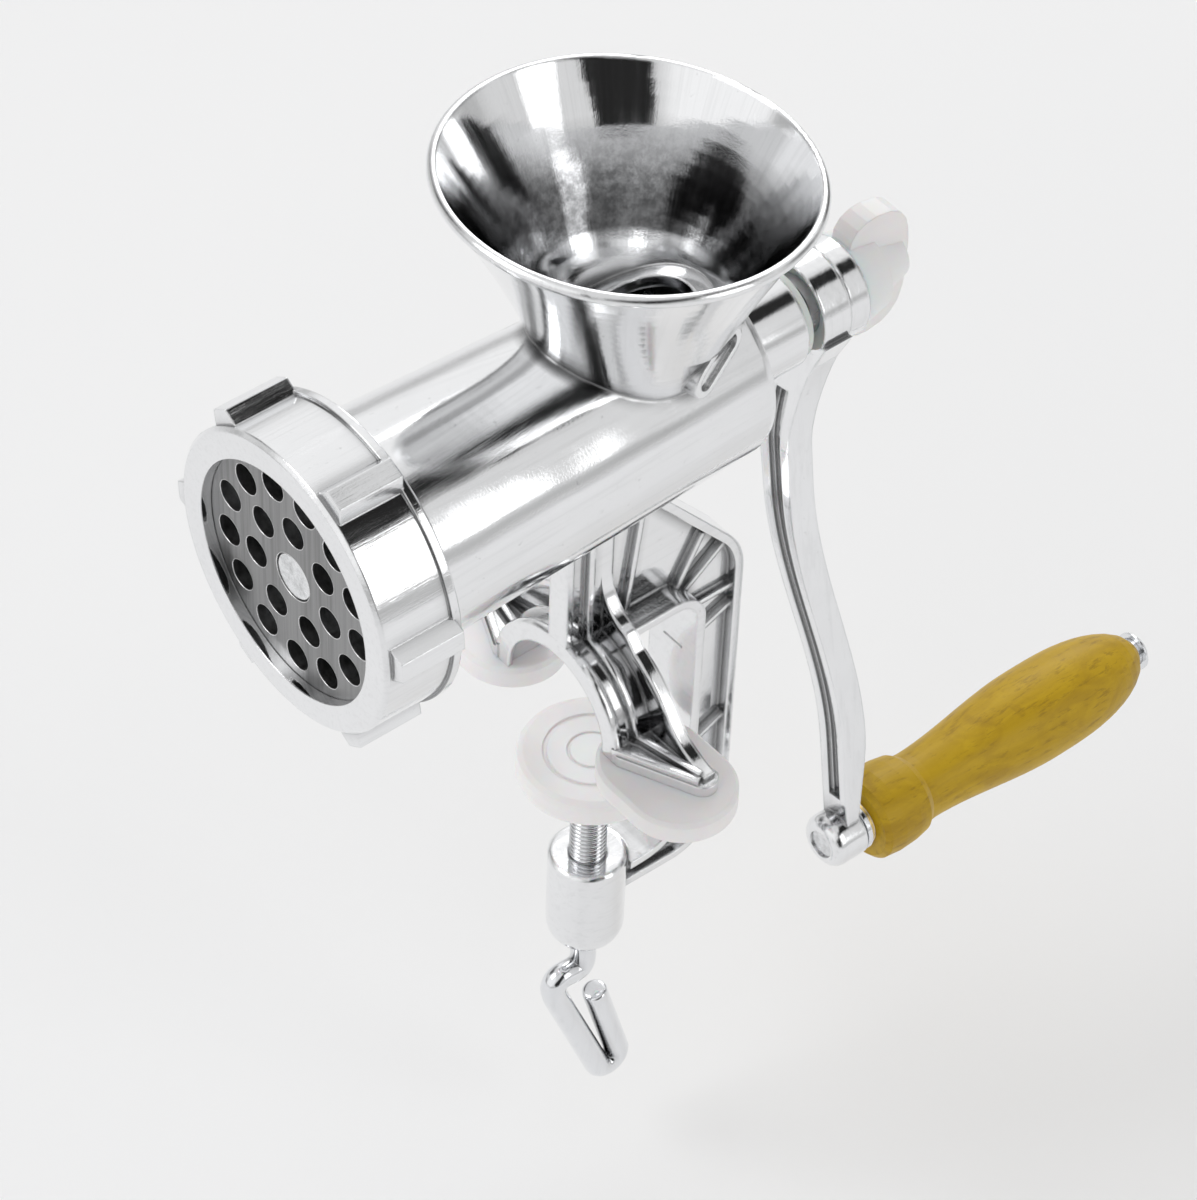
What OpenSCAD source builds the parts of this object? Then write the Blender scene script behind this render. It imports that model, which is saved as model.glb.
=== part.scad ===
// Hand crank meat grinder that clamps to a table edge.
// Frame: origin on the clamp screw's axis, in the plane of the jaw pads' undersides, which is
// the top of the table. +Z is up, -Y is the way the meat leaves and +Y the way the crank faces.

/* [Barrel] */
// Height of the barrel's axis above the table
bar_z = 103; // [95:1:120]
// Distance from the clamp screw back to the barrel's mouth
mouth_back = 87; // [80:0.5:95]
// Length of the barrel from its mouth to its rear face
barrel_len = 118.8; // [112:0.1:130]
// Radius of the bore at the mouth end
bore_front_r = 26.2; // [25:0.1:27]
// Radius of the bore at the rear end
bore_rear_r = 22.4; // [21:0.1:23]
// Wall of the barrel
barrel_wall = 3.4; // [2.5:0.1:4]
// Outer radius of the threaded collar at the mouth
collar_r = 35.8; // [35.4:0.1:36.2]
// Length of the threaded collar
collar_len = 13; // [11:0.5:15]
// Radius of the recess that the knife turns in
knife_recess_r = 30; // [29.5:0.1:31]
// Thickness of the barrel's rear wall
rear_wall = 3.6; // [3:0.1:6]

/* [Rear bearing] */
// Outer radius of the bearing neck
bearing_r = 13.5; // [13:0.1:16]
// Length of the bearing neck behind the barrel
bearing_len = 20.3; // [18:0.1:28]
// Wall of the bearing bush
bush_wall = 1.5; // [1:0.1:2]
// Thickness of the bush's flange
bush_flange_t = 2; // [0.8:0.1:3]
// Gap between the bush and the crank's hub, where the auger's shank shows
hub_gap = 2.8; // [0.4:0.1:4]

/* [Hopper] */
// Radius of the hopper's rim
hopper_rim_r = 45.4; // [42:0.1:50]
// Height of the hopper from the foot of its cone to its rim
hopper_h = 43.9; // [38:0.1:50]
// Radius at the foot of the cone
hopper_neck_r = 24.3; // [23:0.1:26]
// Straight rise of the cone's radius for each millimetre of height
hopper_slope = 0.37; // [0.3:0.01:0.45]
// Distance of the hopper's axis behind the clamp screw's axis
hopper_back = 5.8; // [2:0.1:8]
// Tilt of the hopper's rim, down towards the crank, in degrees
rim_tilt = 4.7; // [0:0.1:6]
// Wall of the hopper
hopper_wall = 2.4; // [2:0.1:3]
// Radius of the rolled bead round the rim
rim_bead_r = 1.5; // [1.4:0.1:1.8]
// Half the width of the feed slot that opens into the barrel
throat_r = 10.5; // [8:0.5:11]

/* [Ring nut] */
// Outer radius of the ring nut
ring_r = 38.6; // [38.4:0.1:40]
// Length of the ring nut
ring_len = 21; // [19:0.5:23]
// Radius of the outlet inside the ring nut's lip
outlet_r = 31; // [30:0.5:32]
// Thickness of the ring nut's lip
lip_t = 3; // [2.5:0.1:5]
// Number of grip lugs round the ring nut
lug_count = 6; // [4:1:8]
// Height of a lug above the ring nut
lug_h = 3.8; // [2:0.1:5]

/* [Plate and knife] */
// Radius of the grinding plate
plate_r = 35; // [34.5:0.1:35.2]
// Thickness of the grinding plate
plate_t = 5; // [4:0.5:8]
// Radius of each hole in the plate
hole_r = 4; // [2.5:0.1:4.2]
// Number of holes in the outer circle
outer_holes = 13; // [10:1:14]
// Number of holes in the inner circle
inner_holes = 7; // [5:1:8]
// Radius of the outer circle of holes
outer_hole_circle = 24.6; // [23.5:0.1:25]
// Radius of the inner circle of holes
inner_hole_circle = 14.2; // [13:0.1:15]
// Radius of the journal that turns in the plate
journal_r = 6.2; // [5.5:0.1:6.4]
// Side of the square that drives the knife
knife_square = 13; // [12.8:0.1:14]
// Reach of the knife's four blades
knife_r = 28.6; // [26:0.1:29.4]
// Thickness of the knife at its cutting edges
knife_t = 6; // [5:0.1:7]

/* [Auger] */
// Radius of the auger's core at the mouth end
core_front_r = 14.5; // [13:0.1:16]
// Radius of the auger's core at the rear end
core_rear_r = 10.5; // [9.5:0.1:12]
// Turns of the auger's flight
flight_turns = 4.6; // [3:0.1:6]
// How much longer the pitch is at the rear than on average
flight_stretch = 0.28; // [0:0.01:0.4]
// Thickness of the flight at its outer edge
flight_tip_t = 2.6; // [2:0.1:4]
// Thickness of the flight at the core
flight_root_t = 6; // [4:0.1:8]
// Radius of the auger's round shank
shank_r = 8.05; // [7.5:0.05:9]
// Side of the square that drives the crank
shank_square = 11.2; // [10:0.1:11.3]

/* [Crank] */
// Distance from the barrel's axis to the handle's axis
crank_len = 174.5; // [160:0.5:185]
// Angle of the crank from straight down at rest, in degrees
crank_rest = 9; // [0:1:20]
// Radius of the crank's hub
hub_r = 13.4; // [12.5:0.1:16]
// Length of the crank's hub
hub_len = 8.5; // [7:0.1:12]
// How far the arm's upper part stands in front of the hub
arm_forward = 7; // [5:0.1:7.5]
// How far the arm's lower part stands behind the hub's front
arm_back = 6.8; // [4:0.1:9]
// Thickness of the arm, along the barrel
arm_t = 7.7; // [6:0.1:9]
// Width of the arm near the hub
arm_top_w = 10.8; // [9:0.1:13]
// Width of the arm near the handle
arm_end_w = 9.2; // [8:0.1:12]
// Width of the groove along the arm's front
groove_w = 4.2; // [3:0.1:5]
// Depth of the groove along the arm's front
groove_d = 1.9; // [1:0.1:2.5]
// Radius of the boss that carries the handle
arm_boss_r = 7.6; // [6.5:0.1:9]

/* [Handle] */
// Length of the wooden grip
grip_len = 101.5; // [90:0.5:115]
// Largest radius of the wooden grip
grip_r = 13.5; // [12:0.1:15]
// Radius of the steel spindle inside the grip
spindle_r = 4; // [3:0.1:5]

/* [Crank fastening] */
// Radius of the metal collar behind the crank's hub
collar_nut_r = 13.3; // [12.5:0.1:14]
// Length of the metal collar
collar_nut_len = 6.4; // [4:0.1:8]
// Depth of the wing knob
knob_depth = 20.5; // [18:0.5:28]
// Reach of each wing from the knob's axis
wing_reach = 18.6; // [17.5:0.1:26]
// Thickness of the wings
wing_t = 6.6; // [5:0.1:8]
// Radius of the knob's threaded stud
stud_r = 3.9; // [3:0.1:4.5]
// Length of the stud's thread inside the auger, which is the knob's travel off the crank
stud_engaged = 12.5; // [8:0.5:16]

/* [Table clamp] */
// Gap between the jaw pads and the clamp disc at rest
jaw_gap = 16.6; // [10:0.1:28]
// Depth of the throat from the screw's axis to the frame
throat_depth = 25.5; // [23:0.5:30]
// Height of the throat's roof above the jaw pads
throat_roof = 29; // [26:0.5:32]
// Height of the jaw pads
pad_t = 7; // [5:0.1:9]
// Length of each jaw pad
pad_len = 39; // [34:0.5:44]
// Width of each jaw pad
pad_w = 29; // [24:0.5:32]
// Radius of the arch between the two jaws
arch_r = 22.5; // [21:0.1:25]
// Reach of each jaw's toe from the middle
toe_reach = 46; // [42:0.5:50]
// Radius of the clamp disc
disc_r = 19.6; // [16:0.1:21]
// Thickness of the clamp disc
disc_t = 8.4; // [6:0.1:10]
// Radius of the clamp screw
screw_r = 4.95; // [4.5:0.05:5.5]
// Radius of the threaded boss under the clamp
boss_r = 10.4; // [9:0.1:13]
// Length of the threaded boss
boss_len = 33.4; // [28:0.1:36]
// Depth of the threaded boss's top below the table
boss_drop = 55.4; // [52:0.1:62]
// Radius of the bent handle of the clamp screw
hook_r = 4.3; // [3.5:0.1:4.6]

/* [Fits] */
// Radial clearance of a running fit
run_clear = 0.06; // [0.02:0.01:0.1]
// Radial clearance of a loose fit
loose_clear = 0.25; // [0.1:0.01:0.4]
// Radial clearance between the two threads of a pair, drawn as plain cylinders
thread_clear = 0.08; // [0.03:0.01:0.1]

/* [Hidden] */
$fn = 72;

// Stations along the barrel's axis, from the outlet back to the knob
mouth_y = -mouth_back;
plate_gap = 0.1;
plate_y = mouth_y - plate_gap - plate_t;
ring_y = plate_y - plate_gap - lip_t;
ring_end_y = ring_y + ring_len;
rear_y = mouth_y + barrel_len;
bearing_end_y = rear_y + bearing_len;
flange_end_y = bearing_end_y + bush_flange_t;
hub_y = flange_end_y + hub_gap;
hub_end_y = hub_y + hub_len;
knob_y = hub_end_y + collar_nut_len;
knob_end_y = knob_y + knob_depth;

// Inside the barrel
knife_recess_len = 7.8;
bore_y = mouth_y + knife_recess_len;
bore_end_y = rear_y - rear_wall;
washer_t = 2;
auger_end_y = bore_end_y - plate_gap - washer_t;
knife_y = mouth_y + plate_gap;
knife_hub_t = 7.2;
auger_y = knife_y + knife_hub_t + plate_gap;
flight_clear = 0.6;
flight_margin = 1.5;
auger_collar_t = 4;
shank_end_y = hub_end_y - 1;
shank_round_end_y = hub_y - 0.1;
tap_depth = stud_engaged + 4;
tap_r = stud_r + thread_clear;
bush_bore_r = shank_r + run_clear;
bush_r = bush_bore_r + bush_wall;
bearing_bore_r = bush_r + 0.02;
bush_len = bearing_len + rear_wall - 0.6;
insert_r = 5;
insert_len = 14;
key_r = 1.5;

// Ring nut
thread_gap = 0.35;
ring_bore_r = collar_r + thread_gap;
band_len = 2.4;
band_h = 0.8;
lug_len = ring_len - band_len - 1.7;
lug_base_w = 9;
lug_top_w = 5.2;
lug_phase = 5.5;

// Hopper: its foot is on the barrel, and its radius grows with height
hopper_foot_z = bar_z + 25;
neck_drop = 16;
neck_floor_r = hopper_neck_r - 3.2;
hopper_over = 6;
hopper_curve = (hopper_rim_r - hopper_neck_r - hopper_slope * hopper_h) / (hopper_h * hopper_h);
function hopper_r(h) = h < 0 ? max(neck_floor_r, hopper_neck_r + hopper_slope * h)
    : hopper_neck_r + hopper_slope * h + hopper_curve * h * h;
hopper_steps = 14;
// The wall is straight where the tilted rim cuts it
rim_band = hopper_rim_r * tan(rim_tilt) + 1.5;
rim_slope = (hopper_rim_r - hopper_r(hopper_h - rim_band)) / rim_band;
rim_shift = rim_slope * hopper_rim_r * tan(rim_tilt);
throat_front_y = hopper_back - neck_floor_r + hopper_wall + throat_r + 0.4;
throat_rear_y = hopper_back + neck_floor_r - hopper_wall - throat_r - 1.4;
badge_turn = 14;
badge_tilt = 33;
badge_z = bar_z + 25.3;
badge_half = 4.8;
badge_r = 4.8;
badge_h = 4.4;
badge_rim = 2;

// Table clamp frame, drawn from the side (Y, Z) and from the front (X, Z)
arch_t = 3;
arch_z = pad_t + 1;
leg_front_y = -13;
leg_rear_y = 1.5;
rib_y = -6;
web_t = 3.2;
flange_t = 2.5;
inner_flange_w = 18;
outer_flange_w = 9;
back_gap = 18.5;
back_y = throat_depth + back_gap;
column_t = 5;
rib_w = 1.8;
shoulder_r = 36;
shoulder_turn = 34;
shoulder_toe_r = 20;
shoulder_flange_t = 2.2;
toe_r = 4;
toe_edge_w = 1.8;
roof_corner_r = 7;
back_corner_r = 22;
back_lean = 40;
lower_corner_r = 20;
lower_drop = boss_drop + 18;
foot_t = 3.4;

// Clamp screw and disc
disc_top_z = -jaw_gap;
disc_z = disc_top_z - disc_t;
disc_hub_r = 9;
disc_hub_t = 2.6;
socket_depth = 6.4;
screw_top_z = disc_z - disc_hub_t + socket_depth;
boss_top_z = -boss_drop;
boss_bottom_z = boss_top_z - boss_len;
screw_bend_z = boss_bottom_z - 7.6;

// Handle, in the crank's own frame: the arm points down and the handle lies along +Y
arm_boss_y = hub_y + arm_back - 5.7;
arm_boss_len = 11;
arm_boss_end_y = arm_boss_y + arm_boss_len;
steel_washer_t = 1.4;
brass_washer_t = 1.2;
grip_y = arm_boss_end_y + steel_washer_t + brass_washer_t + 0.3;
grip_end_y = grip_y + grip_len;
spindle_head_t = 2;
spindle_end_y = grip_end_y + spindle_head_t;

// A round stretch of an outline, on a circle from angle a0 to a1, in steps of about arc_step
arc_step = 1.2;
function arc_steps(r, a0, a1) = max(4, ceil(r * abs(a1 - a0) * PI / 180 / arc_step));
function arc(c, r, a0, a1) = let (n = arc_steps(r, a0, a1))
    [for (i = [0:n]) let (a = a0 + (a1 - a0) * i / n) [c[0] + r * cos(a), c[1] + r * sin(a)]];

// Mirrors an outline drawn on the +X side and closes it
function both_sides(p) = concat(p, [for (i = [len(p) - 1:-1:0]) [-p[i][0], p[i][1]]]);

// Places children, drawn along their own Z, along the barrel's axis, at their own Y
module on_barrel() {
    translate([0, 0, bar_z]) rotate([-90, 0, 0]) children();
}

// Gives a side view (Y, Z) a thickness along X
module side_plate(w, x = 0) {
    translate([x - w / 2, 0, 0]) rotate([90, 0, 90]) linear_extrude(w) children();
}

// Gives a front view (X, Z) a thickness along Y
module front_plate(y0, y1) {
    translate([0, y1, 0]) rotate([90, 0, 0]) linear_extrude(y1 - y0) children();
}

// The crank's own frame: its arm points down along -Z from the barrel's axis
module on_crank() {
    translate([0, 0, bar_z]) rotate([0, -crank_rest, 0]) children();
}

// The handle's axis in the row frame, drawn along its own Z
module on_handle() {
    on_crank() translate([0, 0, -crank_len]) rotate([-90, 0, 0]) children();
}

// ---------------------------------------------------------------- body casting

module barrel_outside() {
    on_barrel() rotate_extrude() polygon([
        [0, mouth_y], [collar_r - 0.4, mouth_y], [collar_r, mouth_y + 0.4],
        [collar_r, mouth_y + collar_len], [bore_front_r + barrel_wall, mouth_y + collar_len + 2],
        [bore_rear_r + barrel_wall + 0.2, rear_y - 3], [bore_rear_r + barrel_wall - 0.6, rear_y - 1],
        [bore_rear_r + barrel_wall - 2.6, rear_y], [bearing_r + 1, rear_y],
        [bearing_r, rear_y + 1], [bearing_r, bearing_end_y - 0.6],
        [bearing_r - 0.6, bearing_end_y], [0, bearing_end_y]]);
}

module barrel_inside() {
    on_barrel() {
        translate([0, 0, mouth_y - 1]) cylinder(r = knife_recess_r, h = knife_recess_len + 1);
        rotate_extrude() polygon([
            [0, bore_y - 1], [bore_front_r, bore_y - 1], [bore_front_r, bore_y],
            [bore_rear_r, bore_end_y], [0, bore_end_y]]);
        translate([0, 0, bore_end_y - 1])
            cylinder(r = bearing_bore_r, h = rear_wall + bearing_len + 2);
    }
}

// Line of the hopper's wall at a depth d inside its outer face, to a little above the rim
function hopper_line(d) = concat(
    [for (i = [0:hopper_steps]) let (h = -6 + (hopper_h - rim_band + 6) * i / hopper_steps)
        [hopper_r(h) - d, h]],
    [[hopper_rim_r + rim_slope * hopper_over - d, hopper_h + hopper_over]]);

module hopper_frame() {
    translate([0, hopper_back, hopper_foot_z]) children();
}

// The tilted plane of the rim, with its origin in the middle of the rim
module rim_frame() {
    translate([0, hopper_back - rim_shift, hopper_foot_z + hopper_h + rim_shift * tan(rim_tilt)])
        rotate([-rim_tilt, 0, 0]) children();
}

module hopper_outside() {
    difference() {
        hopper_frame() rotate_extrude() polygon(concat(
            [[0, -neck_drop], [neck_floor_r, -neck_drop], [neck_floor_r, -8]],
            hopper_line(0), [[0, hopper_h + hopper_over]]));
        rim_frame() translate([-2 * hopper_rim_r, -2 * hopper_rim_r, 0])
            cube([4 * hopper_rim_r, 4 * hopper_rim_r, 20]);
    }
}

module hopper_inside() {
    hopper_frame() rotate_extrude() polygon(concat(
        [[0, -neck_drop - 1], [neck_floor_r - hopper_wall, -neck_drop - 1],
            [neck_floor_r - hopper_wall, -8]],
        hopper_line(hopper_wall), [[0, hopper_h + hopper_over]]));
}

module rim_bead() {
    rim_frame() translate([0, 0, -0.3]) rotate_extrude()
        translate([hopper_rim_r - hopper_wall / 2 + 0.1, 0]) circle(r = rim_bead_r, $fn = 20);
}

// A flat-sided oval, drawn along Z
module oval(r, half, h) {
    for (s = [-1, 1]) translate([0, s * half, 0]) cylinder(r = r, h = h, $fn = 40);
    translate([-r, -half, 0]) cube([2 * r, 2 * half, h]);
}

// The bare oval boss cast on the side of the neck, with a sunk middle
module neck_badge() {
    translate([0, hopper_back, badge_z]) rotate([0, 0, badge_turn]) rotate([0, 90, 0])
        rotate([0, 0, badge_tilt]) translate([0, 0, neck_floor_r - 2]) difference() {
            oval(badge_r, badge_half, 2 + badge_h);
            translate([0, 0, 1.1 + badge_h]) oval(badge_r - badge_rim, badge_half, 2);
        }
}

function reversed(p) = [for (i = [len(p) - 1:-1:0]) p[i]];

// Line of the frame's back from the side, going up, at a depth d inside its outer face
function back_line(d) = concat(
    arc([back_y - back_corner_r, throat_roof - 3], back_corner_r - d, 0, back_lean),
    [[18.5, bar_z - 39.5] - d * [cos(back_lean), sin(back_lean)],
        [13.6, bar_z - 33.6] - d * [cos(back_lean), sin(back_lean)],
        [9.4, bar_z - 27] - d * [cos(back_lean), sin(back_lean)]]);

// Line of the lower arm's underside, going from the back to the boss, at a depth d
function lower_line(d) = concat(
    arc([back_y - lower_corner_r, -lower_drop + lower_corner_r], lower_corner_r - d, 0, -80),
    [[boss_r - 3, -lower_drop + 1 + d]]);

// Side view of the frame's closed web: the roof, the back and the lower arm
function frame_outer() = concat(
    [[leg_front_y + 1, bar_z - 15], [leg_front_y + 1, throat_roof + 1]],
    [[0, throat_roof + 1], [0, throat_roof]],
    arc([throat_depth - roof_corner_r, throat_roof - roof_corner_r], roof_corner_r, 90, 0),
    arc([throat_depth - 14, boss_top_z + 12], 14, 0, -90),
    [[boss_r - 3, boss_top_z - 2]],
    reversed(lower_line(0)),
    back_line(0),
    [[9.4, bar_z - 15]]);

module frame_web() {
    side_plate(web_t) polygon(frame_outer());
}

// The wide flange round the throat
module inner_flange() {
    side_plate(inner_flange_w) polygon(concat(
        [[0, throat_roof + flange_t], [0, throat_roof]],
        arc([throat_depth - roof_corner_r, throat_roof - roof_corner_r], roof_corner_r, 90, 0),
        arc([throat_depth - 14, boss_top_z + 12], 14, 0, -90),
        [[boss_r - 3, boss_top_z - 2], [boss_r - 3, boss_top_z - 2 - flange_t]],
        arc([throat_depth - 14, boss_top_z + 12], 14 + flange_t, -90, 0),
        arc([throat_depth - roof_corner_r, throat_roof - roof_corner_r],
            roof_corner_r + flange_t, 0, 90)));
}

// The narrow flange down the frame's back
module outer_flange() {
    side_plate(outer_flange_w) polygon(concat(
        reversed(back_line(0)), lower_line(0),
        reversed(lower_line(flange_t)), back_line(flange_t)));
}

// A straight rib on both faces of the web, from p to q in the side view
module web_rib(p, q) {
    d = q - p;
    side_plate(web_t + 2 * rib_w) translate(p) rotate(atan2(d[1], d[0]))
        translate([0, -0.8]) square([norm(d), 1.6]);
}

module web_ribs() {
    c = [throat_depth - roof_corner_r, throat_roof - roof_corner_r];
    web_rib([6, throat_roof], [11, bar_z - 34]);
    for (a = [62, 38]) web_rib(c + roof_corner_r * [cos(a), sin(a)],
        c + (roof_corner_r + 19) * [cos(a), sin(a)]);
    web_rib([throat_depth, throat_roof - 9], [back_y - 1, throat_roof - 9]);
    web_rib([throat_depth, throat_roof - 22], [back_y - 1, throat_roof - 15]);
    web_rib([throat_depth, boss_top_z + 20], [back_y - 1, boss_top_z + 28]);
}

// The arch that joins the two jaws: a raised front edge and a ridge over its middle
module arch() {
    inner = arch_r - arch_t;
    difference() {
        translate([0, 0, arch_z]) rotate([-90, 0, 0]) rotate([0, 0, 174]) rotate_extrude(angle = 192)
            polygon([
                [inner - 1, leg_front_y], [arch_r + 1.2, leg_front_y], [arch_r + 1.5, leg_front_y + 1.2],
                [arch_r + 1.2, leg_front_y + 2.4], [arch_r, leg_front_y + 2.8],
                [arch_r, rib_y - 1.3], [arch_r + rib_w, rib_y - 0.7], [arch_r + rib_w, rib_y + 0.7],
                [arch_r, rib_y + 1.3], [arch_r, leg_rear_y], [inner, leg_rear_y],
                [inner, leg_front_y + 2], [inner - 1, leg_front_y + 1.4]]);
        translate([-2 * arch_r, leg_front_y - 1, pad_t - 20])
            cube([4 * arch_r, leg_rear_y - leg_front_y + 2, 20]);
    }
}

// Front view of the shoulder's edge, from the column down to the toe, at a depth d inside it:
// a hollow curve, the round of the shoulder, and a hollow curve out to the toe
function shoulder_edge(d) = let (
        w = column_t / 2,
        turn = [cos(shoulder_turn), sin(shoulder_turn)],
        toe_c = shoulder_r * turn + shoulder_toe_r * turn)
    concat(
        [[w - d, bar_z - 22], [w - d, shoulder_r + 16]],
        arc([w + 13, shoulder_r + 13], 13 + d, 180, 255),
        arc([0, 0], shoulder_r - d, 64, shoulder_turn),
        arc(toe_c, shoulder_toe_r + d, 180 + shoulder_turn, 262));

module shoulder() {
    hole_r = arch_r - arch_t / 2;
    front_plate(leg_rear_y - 2.2, leg_rear_y - 0.2) difference() {
        polygon(both_sides(concat(shoulder_edge(0.4), [[toe_reach - 4, pad_t + 1], [0, pad_t + 1]])));
        polygon(concat(arc([0, arch_z], hole_r, 0, 180), [[-hole_r, pad_t], [hole_r, pad_t]]));
    }
    // rolled flange along the shoulder's edge
    front_plate(leg_rear_y - 3, leg_rear_y + 0.6) for (s = [0, 1]) mirror([s, 0])
        polygon(concat(shoulder_edge(0), reversed(shoulder_edge(shoulder_flange_t))));
}

// The column between the arch and the barrel, with three ribs down each face
module column() {
    z0 = arch_z + arch_r - arch_t + 0.6;
    h = bar_z - 20 - z0;
    translate([-column_t / 2, leg_front_y, z0]) cube([column_t, leg_rear_y - leg_front_y, h]);
    translate([-column_t / 2 - 0.9, leg_front_y, z0])
        cube([column_t + 1.8, 2, h]);
    translate([-column_t / 2 - rib_w, rib_y - 0.9, z0])
        cube([column_t + 2 * rib_w, 1.8, h]);
}

// One jaw's foot, on the +X side: a plate that tapers to a round toe, with a raised front edge
// and a ridge along its middle
module foot_half() {
    inside = arch_r - arch_t / 2;
    toe_c = [toe_reach - toe_r, leg_rear_y - 2];
    edge_p = [arch_r + 2, leg_front_y];
    edge_q = toe_c + toe_r * [cos(-60), sin(-60)];
    edge = edge_q - edge_p;
    translate([0, 0, pad_t]) linear_extrude(foot_t) polygon(concat(
        [[inside, leg_rear_y - 0.4], [inside, leg_front_y], edge_p],
        arc(toe_c, toe_r, -60, 70)));
    translate([edge_p[0], edge_p[1], pad_t + 0.4]) rotate([0, 0, atan2(edge[1], edge[0])])
        translate([-2, 0.4, 0]) cube([norm(edge) + 2, toe_edge_w, foot_t + 1.2]);
    translate([arch_r - 1, rib_y - 0.9, pad_t + 0.4]) rotate([0, 0, 12])
        cube([toe_reach - arch_r - 2, 1.8, foot_t + rib_w]);
}

module screw_boss() {
    translate([0, 0, boss_bottom_z]) rotate_extrude() polygon(concat(
        [[0, 0], [boss_r - 5.5, 0]], arc([boss_r - 8, 8], 8, -60, 0),
        [[boss_r, boss_len - 0.8], [boss_r - 0.8, boss_len], [0, boss_len]]));
}

module body_casting() {
    color([0.8, 0.81, 0.83]) difference() {
        union() {
            difference() {
                union() {
                    hopper_outside();
                    rim_bead();
                    neck_badge();
                }
                hopper_inside();
            }
            barrel_outside();
            frame_web();
            inner_flange();
            outer_flange();
            web_ribs();
            arch();
            shoulder();
            column();
            for (s = [0, 1]) mirror([s, 0, 0]) foot_half();
            screw_boss();
        }
        barrel_inside();
        // feed slot from the hopper into the barrel
        translate([0, 0, bar_z + 8]) {
            for (y = [throat_front_y, throat_rear_y])
                translate([0, y, 0]) cylinder(r = throat_r, h = bore_front_r + 2);
            translate([-throat_r, throat_front_y, 0])
                cube([2 * throat_r, throat_rear_y - throat_front_y, bore_front_r + 2]);
        }
        // threaded hole for the clamp screw
        translate([0, 0, boss_bottom_z - 1]) cylinder(r = screw_r + thread_clear, h = boss_len + 2);
        // seat of the plate key
        on_barrel() translate([0, key_r + 0.2 - plate_r, mouth_y - 1])
            cylinder(r = key_r, h = 5, $fn = 24);
    }
}

module rear_bush() {
    color([0.93, 0.93, 0.9]) on_barrel() difference() {
        union() {
            translate([0, 0, bearing_end_y - bush_len]) cylinder(r = bush_r, h = bush_len);
            translate([0, 0, bearing_end_y]) cylinder(r = bearing_r - 1.2, h = bush_flange_t);
        }
        translate([0, 0, bearing_end_y - bush_len - 1])
            cylinder(r = bush_bore_r, h = bush_len + bush_flange_t + 2);
    }
}

// Small pin in the barrel's mouth that keeps the plate from turning
module plate_key() {
    color([0.7, 0.71, 0.72]) on_barrel()
        translate([0, key_r + 0.2 - plate_r, mouth_y - plate_gap - plate_t + 1])
            cylinder(r = key_r - 0.02, h = plate_t + plate_gap + 3, $fn = 24);
}

module jaw_pad() {
    c = pad_w / 2;
    translate([toe_reach - pad_len / 2 + 6.5, rib_y + 2, 0]) {
        difference() {
            hull() for (s = [-1, 1]) translate([s * (pad_len / 2 - c), 0, 0]) {
                translate([0, 0, 1]) cylinder(r = c, h = pad_t - 2);
                cylinder(r = c - 1, h = pad_t);
            }
        }
    }
}

module jaw_pad_right() {
    color([0.95, 0.95, 0.95]) jaw_pad();
}

module jaw_pad_left() {
    color([0.95, 0.95, 0.95]) mirror([1, 0, 0]) jaw_pad();
}

// ---------------------------------------------------------------- outlet

module grinding_plate() {
    color([0.62, 0.63, 0.65]) on_barrel() translate([0, 0, plate_y]) difference() {
        cylinder(r = plate_r, h = plate_t);
        translate([0, 0, -1]) {
            cylinder(r = journal_r + run_clear, h = plate_t + 2);
            for (i = [0:outer_holes - 1]) rotate(360 * i / outer_holes + 4.5)
                translate([outer_hole_circle, 0]) cylinder(r = hole_r, h = plate_t + 2, $fn = 32);
            for (i = [0:inner_holes - 1]) rotate(360 * i / inner_holes + 14.5)
                translate([inner_hole_circle, 0]) cylinder(r = hole_r, h = plate_t + 2, $fn = 32);
            translate([-key_r - loose_clear, -plate_r - 1])
                cube([2 * (key_r + loose_clear), 2 * key_r + 1.2 + loose_clear, plate_t + 2]);
        }
    }
}

module ring_nut() {
    color([0.82, 0.83, 0.85]) on_barrel() difference() {
        union() {
            translate([0, 0, ring_y]) rotate_extrude() polygon([
                [outlet_r - 2, 0], [ring_r - 1, 0], [ring_r, 1], [ring_r, ring_len - band_len],
                [ring_r + band_h, ring_len - band_len], [ring_r + band_h, ring_len - 0.4],
                [ring_r + band_h - 0.4, ring_len], [outlet_r - 2, ring_len]]);
            for (i = [0:lug_count - 1]) rotate(-lug_phase - 360 * i / lug_count)
                translate([ring_r - 1.5, 0, ring_y + 1.7]) linear_extrude(lug_len + 0.5) polygon([
                    [0, -lug_base_w / 2], [1.2, -lug_base_w / 2], [lug_h + 1.5, -lug_top_w / 2],
                    [lug_h + 1.5, lug_top_w / 2], [1.2, lug_base_w / 2], [0, lug_base_w / 2]]);
        }
        translate([0, 0, ring_y - 1]) cylinder(r = outlet_r, h = lip_t + 2);
        translate([0, 0, ring_y + lip_t]) cylinder(r = plate_r + loose_clear, h = ring_len);
        translate([0, 0, mouth_y - 1]) cylinder(r = ring_bore_r, h = ring_len);
    }
}

// ---------------------------------------------------------------- auger and knife

flight_y = auger_y + 0.4;
flight_len = auger_end_y - auger_collar_t - flight_y;
flight_steps = 24;
flight_count = round(flight_turns * flight_steps);
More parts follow.
